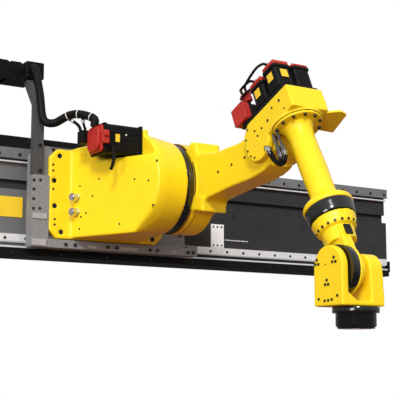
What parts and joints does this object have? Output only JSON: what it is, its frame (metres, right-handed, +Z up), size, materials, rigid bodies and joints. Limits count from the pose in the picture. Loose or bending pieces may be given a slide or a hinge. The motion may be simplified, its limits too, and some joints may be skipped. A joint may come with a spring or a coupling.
{
  "type": "rail-mounted six-axis robot",
  "caption": "Six-axis arm on a carriage that hangs on the side of a straight rail beam, with cable carrier, motors and tool flange.",
  "frame": {"origin": "centre of the back mounting face, at mid-length and mid-height of the rail beam", "axes": "+X along the rail, -Y out from the rail towards the robot, +Z up"},
  "size_m": [4.162, 2.2816, 1.5997],
  "materials": {
    "rail_grey": "satin",
    "strip_grey": "satin",
    "bright_steel": "satin",
    "black_steel": "satin",
    "sign_yellow": "satin",
    "plate_white": "satin",
    "carriage_grey": "satin",
    "black_plastic": "matte",
    "cable_rubber": "matte",
    "robot_yellow": "gloss",
    "motor_black": "gloss",
    "flange_black": "gloss",
    "cap_red": "gloss",
    "fitting_chrome": "polished"
  },
  "bodies": {
    "rail": {"rail_beam": "rail_grey", "guide_strip": "strip_grey", "guide_edge": "bright_steel", "gear_rack": "bright_steel", "lower_guide": "bright_steel", "base_channel": "black_steel", "cable_trough": "black_steel", "rail_nose": "black_steel", "mounting_pads": "rail_grey", "sign_plate": "sign_yellow", "scale_plate": "plate_white"},
    "carriage": {"carriage_plate": "carriage_grey", "side_member": "carriage_grey", "lower_member": "carriage_grey", "bearing_blocks": "carriage_grey", "cable_post": "carriage_grey", "chain_bracket": "carriage_grey", "cable_chain": "black_plastic", "cable_clamp": "black_plastic", "cable_bundle": "cable_rubber", "connector_box": "black_plastic", "base_casting": "robot_yellow", "base_motor": "motor_black", "base_motor_cap": "cap_red", "base_fittings": "fitting_chrome", "shoulder_ring": "motor_black"},
    "upper_arm": {"arm": "robot_yellow"},
    "elbow": {"elbow_casing": "robot_yellow", "motor_plate": "motor_black", "wrist_motor_1": "motor_black", "wrist_motor_2": "motor_black", "wrist_motor_3": "motor_black", "elbow_motor": "motor_black", "elbow_connectors": "cap_red", "side_bracket": "robot_yellow", "elbow_fittings": "fitting_chrome", "forearm": "robot_yellow", "roll_ring": "motor_black"},
    "wrist": {"wrist_drum": "robot_yellow", "bend_ring": "motor_black"},
    "hand": {"wrist_fork": "robot_yellow"},
    "tool": {"tool_flange": "flange_black"}
  },
  "joints": [
    {"name": "rail_slide", "type": "slide", "parent": "rail", "child": "carriage", "axis": [1, 0, 0], "range_m": [-1.3, 1.3]},
    {"name": "shoulder_swing", "type": "hinge", "parent": "carriage", "child": "upper_arm", "pos_m": [0.027, -0.685, 0.095], "axis": [1, 0, 0], "range_deg": [-80, 90]},
    {"name": "elbow_bend", "type": "hinge", "parent": "upper_arm", "child": "elbow", "pos_m": [0.135, -1.56499, 0.21398], "axis": [-1, 0, 0], "range_deg": [-60, 10]},
    {"name": "wrist_roll", "type": "hinge", "parent": "elbow", "child": "wrist", "pos_m": [0.135, -2.02603, -0.23293], "axis": [0, -0.4679, -0.8838], "range_deg": [-180, 180]},
    {"name": "wrist_bend", "type": "hinge", "parent": "wrist", "child": "hand", "pos_m": [0.135, -2.15565, -0.47773], "axis": [1, 0, 0], "range_deg": [-125, 72]},
    {"name": "tool_roll", "type": "hinge", "parent": "hand", "child": "tool", "pos_m": [0.135, -2.17365, -0.64773], "axis": [0, 0, -1], "range_deg": [-180, 180]}
  ]
}
